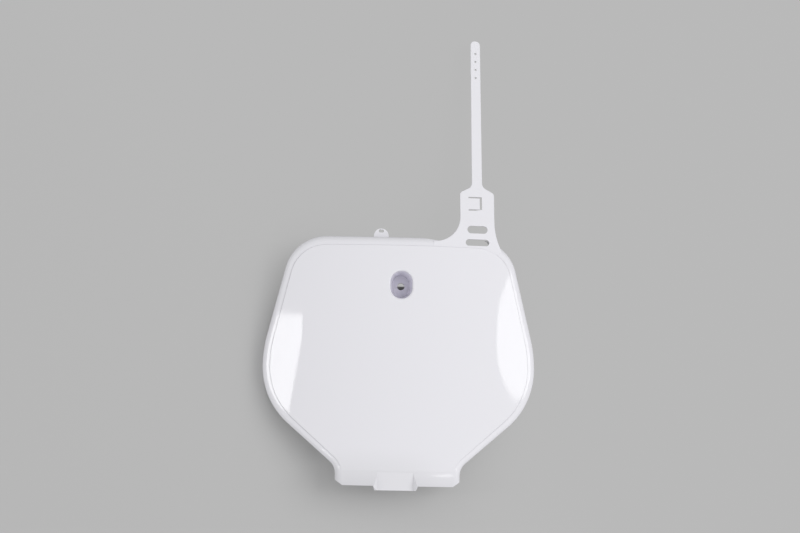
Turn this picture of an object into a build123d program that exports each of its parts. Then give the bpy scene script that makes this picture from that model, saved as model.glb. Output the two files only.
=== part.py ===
"""Racing number board: one convex moulded shell with a bolt well, a flared foot and a handlebar strap."""
import os
from math import acos, asin, atan2, cos, degrees, hypot, radians, sin, sqrt, tan

from build123d import *

# Driving dimensions, in millimetres and degrees.
# X runs across the board, Y runs up it towards the strap and Z runs out of its face.
# The origin is the middle of the bolt hole, on the seat at the back of the well.

# Moulded sheet
wall = 2.0
draft = 4.0
rim_depth = 12.0
shoulder_radius = 6.5

# Form of the face
cross_radius = 300.0

# Outline of the board, drawn where its side rims rest
half_width = 122.8
widest_y = -72.0
side_radius = 116.0
side_turn = 13.8
top_y = 45.2
corner_radius = 38.5
lower_radius = 69.5
foot_half_width = 56.9
foot_corner_y = -161.2
foot_radius = 12.0

# Raised panel inside the border
panel_step = 0.7
panel_inset = 7.5
panel_top_y = 35.0
panel_bevel = 0.4
panel_bottom_y = -168.0

# Foot: a lip that flares forward, with a flush channel in the middle
lip_start_y = -156.2
lip_radius = 34.0
lip_end_y = -176.3
skirt_end_y = -176.0
wing_half_width = 48.1
wing_cut_y = -170.4
channel_x = -2.0
channel_start_y = -164.5
channel_half_width = 15.5
channel_slope = 30.0
apron_end_y = -180.6
apron_half_width = 19.5
apron_end_half_width = 17.8

# Bolt well
well_depth = 20.0
seat_wall = 3.0
bolt_hole_radius = 3.25
well_length = 19.2
well_width = 14.2
well_draft = 8.0
well_lip_radius = 1.4

# Strap and its base, across and along the strap's own axis, which leans in towards the middle
strap_x = 68.1
strap_lean = 1.0
strap_wall = 2.0
strap_proud = 0.2
strap_tip_y = 228.8
strap_half_width = 4.65
strap_tip_half_width = 4.4
strap_tip_radius = 4.0
strap_root_y = 90.9
strap_root_radius = 6.0
base_half_width = 15.6
base_shoulder_y = 85.2
base_corner_radius = 3.5
base_left_flare = 22.0
base_right_flare = 56.0
base_right_y = 45.8
base_right_lean = 27.0
relief_x = 2.0
relief_depth = 4.6
strap_bend_y = 47.0
strap_bend_radius = 120.0
strap_droop = 6.0
strap_edge_bevel = 0.3

# Openings in the strap and its base
strap_hole_radius = 1.0
strap_hole_count = 4
strap_hole_pitch = 7.7
strap_hole_tip_gap = 12.2
upper_slot_y = 51.5
upper_slot_length = 18.3
upper_slot_width = 6.8
lower_slot_y = 39.8
lower_slot_length = 21.5
lower_slot_width = 5.8
window_x = -1.8
window_y = 75.1
window_length = 12.3
window_width = 12.6
tongue_gap = 1.2
tongue_end_gap = 2.0
ramp_depth = 1.2
ramp_length = 6.2

# Ear with an eye behind the top edge
ear_x = -18.6
ear_radius = 6.6
ear_height = 5.6
ear_wall = 2.4
ear_root = 0.0775
eye_length = 4.8
eye_width = 2.6
eye_height = 3.3

# Extent of the tool bodies that cut and trim, past the part on every side
reach = 90.0
half_turn = 40.0

# Worked-out places
axis_z = seat_wall + well_depth - cross_radius
turn_axis = Axis((0, 0, axis_z), (0, 1, 0))
turn_start = Plane(
    origin=(0, 0, axis_z),
    x_dir=(0, 1, 0),
    z_dir=(cos(radians(half_turn)), 0, sin(radians(half_turn))),
)
well_wall = wall / cos(radians(well_draft))
foot_end_y = lip_end_y - shoulder_radius
foot_run = (foot_half_width - half_width + lower_radius, foot_corner_y - widest_y)
lower_turn = -degrees(atan2(foot_run[1], foot_run[0]) + acos(lower_radius / hypot(*foot_run)))


def along(angle, length):
    """Step of a length along a normal that leans by an angle, as height and distance from the axis."""
    return length * sin(radians(angle)), length * cos(radians(angle))


def lip_spot(y, depth):
    """Place on the flared lip near a height, and the lip's angle there."""
    angle = degrees(asin((lip_start_y - y) / lip_radius))
    step_y, step_r = along(angle, lip_radius + depth)
    return (lip_start_y - step_y, cross_radius + lip_radius - step_r), angle


# Level on which the side rims rest, and the strap's own frame on it
rim_radius = cross_radius - rim_depth
rim_plane = Plane.XY.offset(axis_z + sqrt(rim_radius**2 - half_width**2))
strap_plane = Plane(rim_plane.location * Location((strap_x, 0, 0), (0, 0, strap_lean)))


def behind_face(depth, flared=True):
    """Section of all that lies a depth behind the face, with the lip flared or running straight on."""
    radius = cross_radius - depth
    back = cross_radius - reach
    top = (top_y + wall, radius)
    with BuildSketch() as section:
        with BuildLine():
            if flared:
                end, slope = lip_spot(foot_end_y - wall, depth)
                Line(top, (lip_start_y, radius))
                CenterArc((lip_start_y, cross_radius + lip_radius), lip_radius + depth, -90, -slope)
            else:
                end = (lip_start_y - reach, radius)
                Line(top, end)
            Polyline(end, (end[0], back), (top[0], back), top)
        make_face()
    return section.sketch


def outline(inset, upper_y=top_y):
    """Plan of the board with its foot run on past the lip, up to a height, drawn in by an inset."""
    turn = radians(side_turn)
    side_x = half_width - side_radius * (1 - cos(turn))
    side_y = widest_y + side_radius * sin(turn)
    top_x = side_x - (upper_y - side_y) * tan(turn)
    low = radians(lower_turn)
    low_x = half_width - lower_radius * (1 - cos(low))
    low_y = widest_y - lower_radius * sin(low)
    with BuildSketch() as plan:
        with BuildLine():
            Polyline((0, foot_end_y), (foot_half_width, foot_end_y), (foot_half_width, foot_corner_y))
            Line((foot_half_width, foot_corner_y), (low_x, low_y))
            JernArc((half_width, widest_y), (0, -1), lower_radius, -lower_turn)
            JernArc((half_width, widest_y), (0, 1), side_radius, side_turn)
            Polyline((side_x, side_y), (top_x, upper_y), (0, upper_y))
            mirror(about=Plane.YZ)
        make_face()
        fillet(plan.vertices().group_by(Axis.Y)[-1], corner_radius)
        foot_corners = plan.vertices().filter_by_position(Axis.Y, foot_corner_y - wall, foot_corner_y + wall)
        fillet(foot_corners, foot_radius)
        if inset:
            offset(amount=-inset)
    return plan.sketch


def front_border(solid):
    """Edges round the front of a solid, without those that two stretches of the front share."""
    edges = solid.faces().filter_by(lambda face: face.normal_at().Z > 0.5).edges()
    return edges.filter_by(lambda edge: sum(edge.is_same(other) for other in edges) == 1)


def turned(section):
    """Solid that a section makes when it is turned about the axis of the face."""
    with BuildPart() as solid:
        with BuildSketch(turn_start):
            add(section)
        revolve(axis=turn_axis, revolution_arc=2 * half_turn)
    return solid.part


def raised_panel():
    """Solid behind the raised panel, which runs out on the lip of the foot."""
    with BuildPart() as panel:
        add(turned(behind_face(-panel_step, flared=False)))
        with BuildSketch(rim_plane):
            add(outline(panel_inset, panel_top_y + panel_inset))
            with Locations((0, panel_bottom_y)):
                Rectangle(2 * half_width, reach, align=(Align.CENTER, Align.MAX), mode=Mode.SUBTRACT)
        extrude(amount=reach, both=True, mode=Mode.INTERSECT)
        chamfer(front_border(panel).sort_by(Axis.Y)[1:], panel_bevel)
    return panel.part


def channel_side(depth):
    """Space in front of the channel that runs down the middle of the foot."""
    (start_y, start_r), _ = lip_spot(channel_start_y, 0)
    end_y = foot_end_y - wall
    end_r = cross_radius
    slope = tan(radians(channel_slope))
    floor_z = axis_z + end_r - depth
    half = channel_half_width + depth / cos(radians(channel_slope))
    with BuildPart() as channel:
        with BuildSketch(Plane.XZ.offset(-lip_start_y).move(Location((channel_x, 0, 0)))):
            with BuildLine():
                Polyline(
                    (-half + wall * slope, floor_z - wall),
                    (half - wall * slope, floor_z - wall),
                    (half + reach / 2 * slope, floor_z + reach / 2),
                    (-half - reach / 2 * slope, floor_z + reach / 2),
                    close=True,
                )
            make_face()
        extrude(amount=reach)
        with BuildSketch(turn_start):
            with BuildLine():
                floor_start = (start_y, start_r - depth)
                floor_end = (end_y, end_r - depth)
                rise = (start_r - end_r) / (start_y - end_y)
                floor_top = (start_y + reach / 2, start_r - depth + rise * reach / 2)
                Polyline(
                    floor_top,
                    floor_end,
                    (floor_end[0], floor_end[1] - reach / 2),
                    (floor_top[0], floor_end[1] - reach / 2),
                    close=True,
                )
            make_face()
        revolve(axis=turn_axis, revolution_arc=2 * half_turn, mode=Mode.SUBTRACT)
    return channel.part


def board_side(depth):
    """Solid behind one side of the moulded sheet: the outside at no depth, the inside at the wall's."""
    with BuildPart() as side:
        add(turned(behind_face(depth)))
        with BuildSketch(rim_plane):
            add(outline(depth))
        extrude(amount=reach, taper=draft, mode=Mode.INTERSECT)
        shoulder = front_border(side).sort_by(Axis.Y)[1:]
        if depth == 0:
            fillet(shoulder, shoulder_radius)
            add(raised_panel())
        else:
            chamfer(shoulder, (shoulder_radius - depth) * (2 - sqrt(2)))
        add(channel_side(depth), mode=Mode.SUBTRACT)
    return side.part


def well_solid(bottom_z, length, width):
    """Drafted oval body that opens forward from a level."""
    with BuildPart() as well:
        with BuildSketch(Plane.XY.offset(bottom_z)):
            SlotOverall(length, width, rotation=90)
        extrude(amount=reach / 2, taper=-well_draft)
    return well.part


def bolt_boss():
    """Drafted boss round the bolt well, from the seat to inside the sheet."""
    with BuildPart() as boss:
        add(well_solid(0, well_length + 2 * well_wall, well_width + 2 * well_wall))
        add(turned(behind_face(wall / 2)), mode=Mode.INTERSECT)
    return boss.part


def rim_notch():
    """Space behind the lower slot that lets the strap's free end past the top rim."""
    with BuildPart() as notch:
        add(turned(behind_face(wall)))
        with BuildSketch(strap_plane):
            with Locations((0, lower_slot_y)):
                Rectangle(lower_slot_length - lower_slot_width, reach, align=(Align.CENTER, Align.MIN))
        extrude(amount=reach, both=True, mode=Mode.INTERSECT)
    return notch.part


def strap_section():
    """Section of the strap and its base: straight along the face, then bent back and straight to the tip."""
    bend_centre = (strap_bend_y, cross_radius - strap_bend_radius)
    ends = []
    with BuildSketch() as section:
        with BuildLine():
            for depth in (-strap_proud, strap_wall - strap_proud):
                start = (0, cross_radius - depth)
                Line(start, (strap_bend_y, cross_radius - depth))
                CenterArc(bend_centre, strap_bend_radius - depth, 90, -strap_droop)
                step_y, step_r = along(strap_droop, strap_bend_radius - depth)
                run_start = (bend_centre[0] + step_y, bend_centre[1] + step_r)
                run = strap_tip_y + wall - run_start[0]
                run_end = (run_start[0] + run, run_start[1] - run * tan(radians(strap_droop)))
                Line(run_start, run_end)
                ends.append((start, run_end))
            Line(ends[0][0], ends[1][0])
            Line(ends[0][1], ends[1][1])
        make_face()
    return section.sketch


def strap_plan():
    """Plan of the strap and its base about the strap's axis, with flares that run out on the border."""
    left_y = top_y - relief_depth
    inner_y = panel_top_y - panel_inset
    left_end = -base_half_width - base_left_flare - wall
    right_turn = radians(base_right_lean)
    right_run = base_right_flare * tan(right_turn / 2) * cos(right_turn) + wall
    with BuildSketch() as plan:
        with BuildLine():
            FilletPolyline(
                (left_end, inner_y),
                (base_half_width, inner_y),
                (base_half_width + right_run * tan(right_turn), base_right_y - right_run),
                (base_half_width, base_right_y),
                (base_half_width, base_shoulder_y),
                (strap_half_width, strap_root_y),
                (strap_tip_half_width, strap_tip_y),
                (-strap_tip_half_width, strap_tip_y),
                (-strap_half_width, strap_root_y),
                (-base_half_width, base_shoulder_y),
                (-base_half_width, left_y),
                (left_end, left_y),
                close=True,
                radius=[
                    0,
                    0,
                    0,
                    base_right_flare,
                    base_corner_radius,
                    strap_root_radius,
                    strap_tip_radius,
                    strap_tip_radius,
                    strap_root_radius,
                    base_corner_radius,
                    base_left_flare,
                    0,
                ],
            )
        make_face()
    return plan.sketch


with BuildPart() as strap:
    add(turned(strap_section()))
    with BuildSketch(strap_plane):
        add(strap_plan())
    extrude(amount=reach, both=True, mode=Mode.INTERSECT)
    chamfer(front_border(strap), strap_edge_bevel)

    # Window with a sprung tongue that is joined at its left, and a ramp that leads in from the right
    with BuildSketch(strap_plane):
        with Locations((window_x, window_y)):
            Rectangle(window_length, window_width)
        with Locations((window_x - window_length / 2, window_y)):
            Rectangle(
                window_length - tongue_end_gap,
                window_width - 2 * tongue_gap,
                align=(Align.MIN, Align.CENTER),
                mode=Mode.SUBTRACT,
            )
    extrude(amount=reach, both=True, mode=Mode.SUBTRACT)
    window_right = strap.edges(Select.LAST).group_by(Axis.X)[-1].sort_by(Axis.Z)[-1]
    chamfer(window_right, ramp_length, ramp_depth)

    # Row of holes at the tip
    with BuildSketch(strap_plane):
        for place in range(strap_hole_count):
            with Locations((0, strap_tip_y - strap_hole_tip_gap - place * strap_hole_pitch)):
                Circle(strap_hole_radius)
    extrude(amount=reach, both=True, mode=Mode.SUBTRACT)

with BuildPart() as number_board:
    add(board_side(0.0))
    add(board_side(wall), mode=Mode.SUBTRACT)
    add(turned(behind_face(rim_depth, flared=False)), mode=Mode.SUBTRACT)

    # Foot trimmed square to the end of its lip
    (trim_y, trim_r), trim_angle = lip_spot(lip_end_y, 0)
    channel_depth = trim_r - cross_radius + 2 * wall
    with BuildSketch(Plane.YZ):
        with Locations(Location((trim_y, axis_z + trim_r), -trim_angle)):
            Rectangle(reach, 2 * reach, align=(Align.MAX, Align.CENTER))
        with Locations((trim_y - channel_depth * tan(radians(trim_angle)), 0)):
            Rectangle(reach, 2 * reach, align=(Align.MAX, Align.CENTER))
    extrude(amount=half_width, both=True, mode=Mode.SUBTRACT)

    # Skirts of the foot cut level on both sides of its apron, and their wings cut back
    wing_run = (foot_half_width - wing_half_width, wing_cut_y - skirt_end_y)
    wing_corner = (wing_half_width + 2 * wing_run[0], skirt_end_y + 2 * wing_run[1])
    below_y = foot_end_y - reach
    with BuildSketch(rim_plane):
        with BuildLine():
            Polyline(
                (-wing_corner[0], wing_corner[1]),
                (-wing_half_width, skirt_end_y),
                (channel_x - apron_half_width, skirt_end_y),
                (channel_x - apron_end_half_width, apron_end_y),
                (channel_x + apron_end_half_width, apron_end_y),
                (channel_x + apron_half_width, skirt_end_y),
                (wing_half_width, skirt_end_y),
                wing_corner,
                (wing_corner[0], below_y),
                (-wing_corner[0], below_y),
                close=True,
            )
        make_face()
    extrude(amount=reach, both=True, mode=Mode.SUBTRACT)

    # Bolt well
    add(bolt_boss())
    add(well_solid(seat_wall, well_length, well_width), mode=Mode.SUBTRACT)
    mouth = number_board.edges(Select.LAST).filter_by_position(Axis.Z, well_depth, reach)
    fillet(mouth, well_lip_radius)
    with Locations((0, 0, seat_wall)):
        Hole(bolt_hole_radius)

    # Top rim cut back towards the flare of the strap's base
    relief_slope = relief_depth / (strap_x - base_half_width - base_left_flare - relief_x)
    with BuildSketch(rim_plane):
        with BuildLine():
            Polyline(
                (relief_x, top_y),
                (strap_x, top_y - relief_slope * (strap_x - relief_x)),
                (strap_x, top_y + reach),
                (relief_x, top_y + reach),
                close=True,
            )
        make_face()
    extrude(amount=reach, both=True, mode=Mode.SUBTRACT)

    # Strap, the slots that its free end is laced through and the notch behind the lower one
    add(strap)
    with BuildSketch(strap_plane):
        with Locations((0, upper_slot_y)):
            SlotOverall(upper_slot_length, upper_slot_width)
        with Locations((0, lower_slot_y)):
            SlotOverall(lower_slot_length, lower_slot_width)
    extrude(amount=reach, both=True, mode=Mode.SUBTRACT)
    add(rim_notch(), mode=Mode.SUBTRACT)

    # Ear with an eye on the back of the top rim, rooted in the drafted wall
    ear_z = axis_z + rim_radius
    ear_setback = (ear_z - rim_plane.origin.Z) * tan(radians(draft))
    leg = ear_height - ear_radius + ear_setback + ear_root
    with BuildSketch(Plane.XY.offset(ear_z)):
        with Locations((ear_x, top_y + ear_height - ear_radius)):
            Circle(ear_radius)
            Rectangle(2 * ear_radius, ear_radius, align=(Align.CENTER, Align.MAX), mode=Mode.SUBTRACT)
            Rectangle(2 * ear_radius, leg, align=(Align.CENTER, Align.MAX))
        with Locations((ear_x, top_y + eye_height)):
            SlotOverall(eye_length, eye_width, mode=Mode.SUBTRACT)
    extrude(amount=ear_wall)

os.makedirs("parts", exist_ok=True)
number_board.part.label = "number_board"
export_step(number_board.part, "parts/number_board.step")
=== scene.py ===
# %% [markdown]
# A racing number board, dressed and lit
#
# The board is one moulding of white plastic: a convex face with a raised panel, an oval bolt well, a foot
# that flares forward and a strap that ties round the handlebar. The shape comes from a CAD model that is
# loaded first and never moved. What is left to do here is what CAD can't say: how the plastic takes the
# light, where the board lies, and how it is photographed.

# %% Load the CAD model as a fixed frame
from math import radians

import bpy
from mathutils import Euler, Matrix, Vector


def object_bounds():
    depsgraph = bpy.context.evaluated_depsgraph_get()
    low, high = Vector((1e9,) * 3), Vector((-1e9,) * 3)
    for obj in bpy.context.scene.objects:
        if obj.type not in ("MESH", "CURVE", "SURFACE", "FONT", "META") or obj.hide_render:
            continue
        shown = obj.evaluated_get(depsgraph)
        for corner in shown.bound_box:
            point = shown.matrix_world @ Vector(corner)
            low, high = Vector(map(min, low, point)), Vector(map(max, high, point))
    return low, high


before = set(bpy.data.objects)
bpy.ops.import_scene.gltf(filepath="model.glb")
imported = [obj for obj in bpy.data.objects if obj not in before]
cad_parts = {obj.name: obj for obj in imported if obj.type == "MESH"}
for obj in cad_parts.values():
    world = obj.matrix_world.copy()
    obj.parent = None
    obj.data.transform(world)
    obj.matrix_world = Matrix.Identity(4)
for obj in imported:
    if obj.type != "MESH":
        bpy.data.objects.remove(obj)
cad_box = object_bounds()
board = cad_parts["number_board"]
print("number board:", len(board.data.polygons), "faces")

# %% [markdown]
# Shader maths
#
# A material is a graph of nodes. Written out link by link such a graph is hard to read, so a small class
# wraps one socket and overloads the arithmetic operators. A line such as 0.3 + 0.1 * grain then adds the
# Math nodes by itself. The reflected forms, such as __radd__, let a number come first.


# %% Sockets that can be written as expressions
class Socket:
    """One output socket of a shader graph, with arithmetic that adds Math nodes."""

    def __init__(self, tree, socket):
        self.tree = tree
        self.socket = socket

    def node(self, kind, settings=None, output=0, **values):
        return add_node(self.tree, kind, settings, output, **values)

    def _math(self, operation, first, second):
        return self.node("ShaderNodeMath", {"operation": operation}, **{"0": first, "1": second})

    def __add__(self, other):
        return self._math("ADD", self, other)

    __radd__ = __add__

    def __sub__(self, other):
        return self._math("SUBTRACT", self, other)

    def __rsub__(self, other):
        return self._math("SUBTRACT", other, self)

    def __mul__(self, other):
        return self._math("MULTIPLY", self, other)

    __rmul__ = __mul__

    def between(self, low, high):
        """Smooth step from 0 at the low value to 1 at the high one."""
        return self.node(
            "ShaderNodeMapRange",
            {"interpolation_type": "SMOOTHSTEP"},
            **{"Value": self, "From Min": low, "From Max": high},
        )


print("a socket has node, between and the operators + - *")

# %% [markdown]
# Every other node
#
# Blender's own calls add a node, set its settings and link its sockets one by one. Here one function does
# all three. The settings come first, because they decide which sockets a node has in use. A socket goes by
# its name, or by its number where a node has several of one name.


# %% One function for every node
def add_node(tree, kind, settings=None, output=0, **values):
    """Adds a node, sets its settings, then the values or links of its sockets, and returns an output."""
    made = tree.nodes.new(kind)
    for name, value in (settings or {}).items():
        setattr(made, name, value)
    for name, value in values.items():
        entry = made.inputs[int(name)] if name.isdigit() else made.inputs[name]
        if isinstance(value, Socket):
            tree.links.new(value.socket, entry)
        else:
            entry.default_value = value
    return Socket(tree, made.outputs[output])


def new_material(name):
    """Empty node material, with its tree and its output node."""
    material = bpy.data.materials.new(name)
    material.use_nodes = True
    tree = material.node_tree
    tree.nodes.clear()
    return material, tree, tree.nodes.new("ShaderNodeOutputMaterial")


print("a graph is made with add_node and new_material")

# %% [markdown]
# White moulded plastic
#
# The board is moulded in polypropylene, a cool white with a clear gloss that mirrors the lamps. One colour
# and one roughness would look like paint, so the next cells add what a real moulding shows: a fine relief
# and marks of handling. They also paint shade into the colour at the foot, in the well and in inner
# corners.
# All of it could be painted on an image, but that needs a UV map and blurs close up. Formulas of the place
# on the board need no map and stay sharp.

# %% Start the plastic
plastic, plastic_tree, plastic_output = new_material("white_moulded_plastic")
place = add_node(plastic_tree, "ShaderNodeTexCoord", output="Object")
x, y, z = [place.node("ShaderNodeSeparateXYZ", output=axis, Vector=place) for axis in "XYZ"]
print("material started:", plastic.name)

# %% [markdown]
# Skin and flow
#
# The steel of the mould leaves a very fine skin on the plastic, and the melt leaves slow waves where it
# flowed. The skin is one or two thousandths of a millimetre deep, and the waves a few hundredths. A mesh of
# them would be huge and still not change the outline. They show only where the gloss wavers, and for that a
# Bump node is enough, fed by two noises of the right sizes.

# %% Relief
SKIN_SIZE = 0.0006
SKIN_DEPTH = 0.0000015
FLOW_SIZE = 0.05
FLOW_DEPTH = 0.00006
RELIEF_DETAIL = 1.0
RELIEF_SCALE = 1.0


def noise(size, detail):
    """Soft noise over the board, in grains of a size."""
    return place.node("ShaderNodeTexNoise", Vector=place, Scale=1 / size, Detail=detail)


skin = noise(SKIN_SIZE, RELIEF_DETAIL)
flow = noise(FLOW_SIZE, RELIEF_DETAIL)
depth = flow * FLOW_DEPTH + skin * SKIN_DEPTH
relief = place.node("ShaderNodeBump", Height=depth, Distance=RELIEF_SCALE)
print("relief: skin", SKIN_DEPTH, "m deep, waves", FLOW_DEPTH, "m deep")

# %% [markdown]
# Gloss
#
# The front of the mould was polished, so the face is glossy, with patches that handling has made a little
# duller. The back was never polished and is satin. Its faces could be picked out and given a material of
# their own. But the direction in which a face looks already tells front from back, and it lets the change
# come softly round the edge of the rim.

# %% Roughness
GLOSS = 0.035
HANDLING_SIZE = 0.03
HANDLING_DETAIL = 4.0
HANDLING_START = 0.45
HANDLING_FULL = 0.75
HANDLING_DULLNESS = 0.03
BACK_START = -0.2
BACK_FULL = -0.6
BACK_DULLNESS = 0.30

handled = noise(HANDLING_SIZE, HANDLING_DETAIL).between(HANDLING_START, HANDLING_FULL)
facing = place.node("ShaderNodeNewGeometry", output="Normal")
back = place.node("ShaderNodeSeparateXYZ", output="Z", Vector=facing).between(BACK_START, BACK_FULL)
roughness = GLOSS + HANDLING_DULLNESS * handled + BACK_DULLNESS * back
print("roughness:", GLOSS, "with", HANDLING_DULLNESS, "more by handling,", BACK_DULLNESS, "more behind")

# %% [markdown]
# The bolt well
#
# Deep in the well the colour has a painted violet tint: painted shade. Vertex colours could mark the
# place, but a flat face from CAD has too few vertices for that. A mask needs none: it is 1 inside an oval
# round the bolt's axis and below the rim of the well, and 0 elsewhere.

# %% Mask of the well
WELL_REACH = 0.0105
WELL_FADE = 1.3
WELL_STRETCH = 0.6
WELL_EDGE = 0.0225
WELL_DEEP = 0.0175

off_axis = x * x + WELL_STRETCH * y * y
in_oval = off_axis.between(WELL_FADE * WELL_REACH**2, WELL_REACH**2)
# Painted shade: the colour deep in the well is tinted violet.
in_well = z.between(WELL_EDGE, WELL_DEEP) * in_oval
print("well: violet below", WELL_EDGE, "m")

# %% [markdown]
# The foot
#
# The foot is painted a little greyer, most at its left: painted shade, where the flared lip turns from the
# light. This mask is made in the same way, from two smooth steps: one down the board and one across it.

# %% Mask of the foot
FOOT_START = -0.140
FOOT_FULL = -0.165
FOOT_SHADE_START_X = 0.045
FOOT_SHADE_FULL_X = 0.0

low = y.between(FOOT_START, FOOT_FULL)
# Painted shade: the foot is made darker, most towards its left.
foot_shade_mask = low * x.between(FOOT_SHADE_START_X, FOOT_SHADE_FULL_X)
print("foot: worn from", FOOT_START, "m down")

# %% [markdown]
# Painted shade in corners
#
# Inner corners, such as the foot of the raised panel's step, get painted shade: their colour is painted
# darker, but not along the top, on the foot or in the well. Corners have no formula of their own, so an
# Ambient Occlusion node with a short reach finds them: it measures how much of the sky a point sees.

# %% Mask of the painted corner shade
CORNER_SHADE_REACH = 0.0015
CORNER_START = 0.97
CORNER_FULL = 0.70
CORNER_SHADE_SHARE = 0.8
CORNER_SHADE_TOP = 0.034
CORNER_SHADE_FULL = 0.022

open_sky = place.node("ShaderNodeAmbientOcclusion", {"only_local": True}, "AO", Distance=CORNER_SHADE_REACH)
corner_shade_places = y.between(CORNER_SHADE_TOP, CORNER_SHADE_FULL) * (1 - low) * (1 - in_well)
# Painted shade: the colour is made darker in inner corners.
painted_corner_shade = CORNER_SHADE_SHARE * open_sky.between(CORNER_START, CORNER_FULL) * corner_shade_places
print("dust: within", CORNER_SHADE_REACH, "m of a corner, below", CORNER_SHADE_TOP, "m")

# %% [markdown]
# Colour
#
# The colour starts as the white of the plastic and turns to another one where a mask says so: each of those
# is painted shade. Colours go through Mix nodes, because a Math node would make them grey. A Mix node keeps
# sockets for several types of data: numbers 6 and 7 are its two colours, and output 2 is the mixed one.

# %% Colour of the plastic
PLASTIC_WHITE = (0.80, 0.795, 0.835, 1.0)
# Painted shade: the foot's grey, the well's violet tint and the grey of the inner corners.
FOOT_SHADE_GREY = (0.755, 0.752, 0.785, 1.0)
WELL_SHADE_VIOLET = (0.80, 0.783, 0.865, 1.0)
CORNER_SHADE_GREY = (0.42, 0.42, 0.44, 1.0)


def turned(mask, plain, other):
    """Plain colour that turns to the other one where the mask is 1."""
    return mask.node("ShaderNodeMix", {"data_type": "RGBA"}, 2, **{"0": mask, "6": plain, "7": other})


# Painted shade is mixed in at the foot, in the well and in the inner corners.
foot_shaded_colour = turned(foot_shade_mask, PLASTIC_WHITE, FOOT_SHADE_GREY)
well_shaded_colour = turned(in_well, foot_shaded_colour, WELL_SHADE_VIOLET)
colour = turned(painted_corner_shade, well_shaded_colour, CORNER_SHADE_GREY)
print("colour: white", PLASTIC_WHITE[:3], "with three tints")

# %% [markdown]
# One shader for the board
#
# Plastic is a colour under a clear surface, which is just what the Principled shader does when its Metallic
# is left at 0. Colour, roughness and relief change over the board and are linked. The index of refraction
# is the same all over, so it is a number on the shader's own socket.

# %% Put the plastic on the board
PLASTIC_IOR = 1.49

shader = place.node(
    "ShaderNodeBsdfPrincipled",
    **{"Base Color": colour, "Roughness": roughness, "Normal": relief, "IOR": PLASTIC_IOR},
)
plastic_tree.links.new(shader.socket, plastic_output.inputs["Surface"])
board.data.materials.clear()
board.data.materials.append(plastic)
print("finish:", board.data.materials[0].name, "with", len(plastic_tree.nodes), "nodes")

# %% [markdown]
# The table it lies on
#
# The board lies on its back on a plain table, so the floor is one flat sheet at the level of the board's
# lowest point, wide enough to fill every view. Blender's plane operator could add it, but a mesh of four
# corners says where it is.

# %% Table top
TABLE_SIZE = 8.0


def table_top(level):
    """Flat sheet at a level, to lie on."""
    half = TABLE_SIZE / 2
    corners = [(-half, -half, level), (half, -half, level), (half, half, level), (-half, half, level)]
    mesh = bpy.data.meshes.new("table")
    mesh.from_pydata(corners, [], [(0, 1, 2, 3)])
    sheet = bpy.data.objects.new("table", mesh)
    bpy.context.scene.collection.objects.link(sheet)
    return sheet


lowest = cad_box[0][2]
table = table_top(lowest)
print("table at", round(lowest, 5), "m")

# %% [markdown]
# Grey of the table
#
# The table is matt grey. The photograph has a shadow only along the lower left of the board. More lamps
# would fill in the rest of it, but they would flatten the board as well. Instead, towards the upper right,
# more and more of the table's grey is a glow that only the camera sees. It lights nothing, and no shadow
# falls on it. Under the bolt hole the near half of the table has no glow, so the hole stays half dark.

# %% Matt grey and glow
TABLE_GREY = (0.50, 0.50, 0.50, 1.0)
GLOW_GREY = (0.485, 0.485, 0.485, 1.0)
GLOW_SHARE = 0.95
GLOW_SLANT = 0.7
GLOW_START = -0.15
GLOW_FULL = 0.01
HOLE_FAR = 0.03
HOLE_NEAR = 0.02
HOLE_LIT = 0.0024
HOLE_DARK = 0.0012


def table_grey():
    """Matt grey that gives way, towards the upper right, to a glow for the camera."""
    material, tree, output = new_material("table_grey")
    seen = add_node(tree, "ShaderNodeLightPath", output="Is Camera Ray")
    spot = add_node(tree, "ShaderNodeTexCoord", output="Object")
    across, along = [spot.node("ShaderNodeSeparateXYZ", output=axis, Vector=spot) for axis in "XY"]
    near_hole = (across * across + along * along).between(HOLE_FAR**2, HOLE_NEAR**2)
    under_hole = near_hole * along.between(HOLE_LIT, HOLE_DARK)
    upper_right = (GLOW_SLANT * across + GLOW_SLANT * along).between(GLOW_START, GLOW_FULL)
    share = GLOW_SHARE * (1 - under_hole) * upper_right
    matt = spot.node("ShaderNodeBsdfDiffuse", Color=TABLE_GREY)
    glow = spot.node("ShaderNodeEmission", Color=GLOW_GREY)
    surface = spot.node("ShaderNodeMixShader", **{"0": seen * share, "1": matt, "2": glow})
    tree.links.new(surface.socket, output.inputs["Surface"])
    return material


table.data.materials.append(table_grey())
print("table:", table.data.materials[0].name)

# %% [markdown]
# A white tent
#
# Gloss mirrors whatever is round it, so white glossy things are photographed in a white tent. Here there is
# more light from the two sides, a little more of it from the left, and less from beyond the top of the
# board. A dome of mesh could be the tent, but a world needs no mesh, and a formula of the direction makes
# it as uneven as it has to be.

# %% World
TENT_WHITE = (1.0, 1.0, 1.0, 1.0)
TENT_LIGHT = 0.605
SIDE_LIGHT = 0.25
MORE_LEFT = 0.06
LESS_ABOVE = 0.20


def tent():
    """White light from all round, a little uneven."""
    world = bpy.data.worlds.new("tent")
    world.use_nodes = True
    tree = world.node_tree
    way = add_node(tree, "ShaderNodeTexCoord", output="Generated")
    right, up = [way.node("ShaderNodeSeparateXYZ", output=axis, Vector=way) for axis in "XY"]
    strength = TENT_LIGHT + SIDE_LIGHT * right * right - MORE_LEFT * right - LESS_ABOVE * up
    sheet = tree.nodes["Background"]
    sheet.inputs["Color"].default_value = TENT_WHITE
    tree.links.new(strength.socket, sheet.inputs["Strength"])
    return world


bpy.context.scene.world = tent()
print("world:", bpy.context.scene.world.name)

# %% [markdown]
# Key lamp
#
# A lamp at the upper right throws the soft shadow along the lower left of the board. It is a wide disk,
# because a wide lamp makes a soft edge. The photograph shows no image of it in the gloss, so its rays don't
# count there. All the lamps are flat panels that face a point, so one function makes them.


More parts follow.
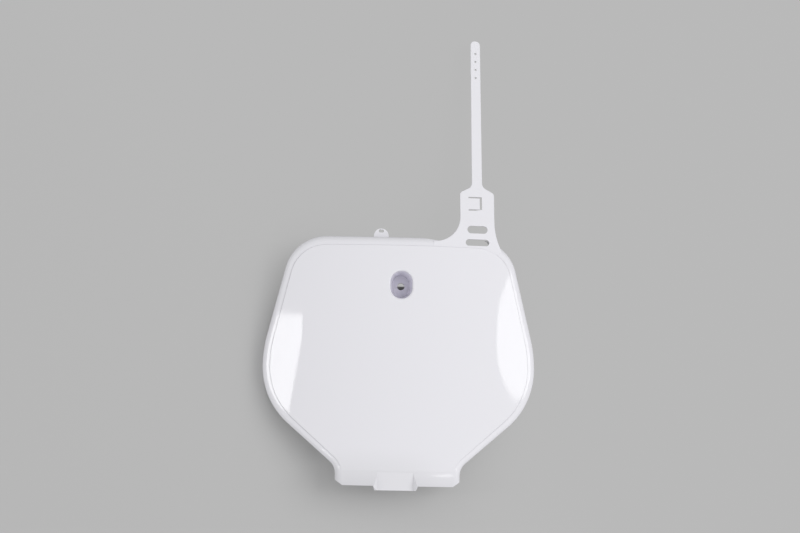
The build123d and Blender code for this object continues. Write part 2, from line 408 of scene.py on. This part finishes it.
# %% Panels of light, and the key lamp
def panel_light(name, place, width, height, watts, shape="RECTANGLE", aim=(0.0, 0.0, 0.0)):
    """Flat lamp of a shape at a place, turned to face a point."""
    lamp = bpy.data.lights.new(name, "AREA")
    lamp.shape = shape
    lamp.size = width
    lamp.size_y = height
    lamp.energy = watts
    holder = bpy.data.objects.new(name, lamp)
    holder.location = place
    holder.rotation_euler = (Vector(aim) - Vector(place)).to_track_quat("-Z", "Y").to_euler()
    bpy.context.scene.collection.objects.link(holder)
    return holder


key = panel_light("key", place=(2.15, 0.6, 2.6), width=2.2, height=2.2, watts=34.0, shape="DISK")
key.visible_glossy = False
print("key lamp at", [round(value, 2) for value in key.location])

# %% [markdown]
# Bright lines along the edges
#
# At the two lower corners of the board, bright lines run along the rounded shoulder. Painted lines would
# stay where they are when the view turns. A rounded edge mirrors a lamp as a thin line, so two panels stand
# beyond those corners, and the gloss does the rest. The left one is seen by the gloss alone, because it is
# strong enough to change the light on the face.

# %% Panels beyond the lower corners
glint = panel_light("lower_left_panel", place=(-1.73, -1.50, 1.79), width=0.8, height=0.35, watts=6.5)
glint.visible_diffuse = False
panel_light("lower_right_panel", place=(1.5, -1.5, 1.9), width=0.7, height=0.5, watts=3.5)
print("corner panels: 2, of which 1 for the gloss alone")

# %% [markdown]
# White patches on the face
#
# The curved face shows a white patch at each side: the image of a panel that stands high beside the board.
# The right patch is rounded, so its panel is an ellipse. The left patch grows narrower towards the foot. A
# lamp has no such shape, so the left panel is made of strips that lie one below the other. The first ones
# have the full height, and each of the others is a little shorter at its upper end.

# %% Panels that the face mirrors
LEFT_PLACE = Vector((-2.19, 0.0, 1.90))
LEFT_RISE = Vector((0.655, 0.0, 0.755))
LEFT_HEIGHT = 1.32
LEFT_WATTS = 17.4
STRIP_COUNT = 9
FULL_STRIPS = 3
STRIP_TOP = 0.188
STRIP_WIDTH = 0.0318
STRIP_TAPER = 0.037


def left_strip(number):
    """One strip of the left panel, counted from the top of the board. LEFT_WATTS is for a square metre."""
    along = STRIP_TOP - STRIP_WIDTH * (number - 0.5)
    cut = STRIP_TAPER * max(0, number - FULL_STRIPS)
    height = LEFT_HEIGHT - cut
    place = LEFT_PLACE - LEFT_RISE * cut / 2 + Vector((0.0, along, 0.0))
    watts = LEFT_WATTS * STRIP_WIDTH * height
    return panel_light(f"left_strip_{number}", place, STRIP_WIDTH, height, watts, aim=(0.0, along, 0.0))


panel_light(
    "right_panel", place=(2.25, 0.148, 1.83), width=0.395, height=1.13, watts=4.2, shape="ELLIPSE"
)
strips = [left_strip(number) for number in range(1, STRIP_COUNT + 1)]
print("patches: right panel, and left panel in", len(strips), "strips")

# %% [markdown]
# A light for the foot
#
# The foot flares forward, so it mirrors what stands beyond the top of the board. A small panel there shows
# as a soft bright spot in the right of the foot.

# %% Foot panel
panel_light("foot_panel", place=(0.957, 1.45, 2.32), width=0.35, height=0.35, watts=1.0)

# %% [markdown]
# Camera
#
# The photograph looks almost straight down from a little over a metre, with the board a touch turned on the
# table. A camera could be aimed with a Track To constraint, but that leaves the turn open. So it is turned
# by three angles and then moved back from the point that it looks at. The angles were found by fitting the
# board's outline to its outline in the picture.

# %% Camera
CAMERA_AIM = Vector((-0.0010, 0.0183, 0.0019))
CAMERA_DISTANCE = 1.279
CAMERA_TURN = (6.17, -2.0, 1.16)
LENS = 64.0
SENSOR = 36.0

lens = bpy.data.cameras.new("camera")
lens.lens = LENS
lens.sensor_width = SENSOR
camera = bpy.data.objects.new("camera", lens)
camera.rotation_euler = Euler([radians(angle) for angle in CAMERA_TURN])
camera.location = CAMERA_AIM + camera.rotation_euler.to_matrix() @ Vector((0.0, 0.0, CAMERA_DISTANCE))
bpy.context.scene.collection.objects.link(camera)
bpy.context.scene.camera = camera
bpy.context.scene.view_settings.view_transform = "Standard"
print("camera at", [round(value, 3) for value in camera.location])
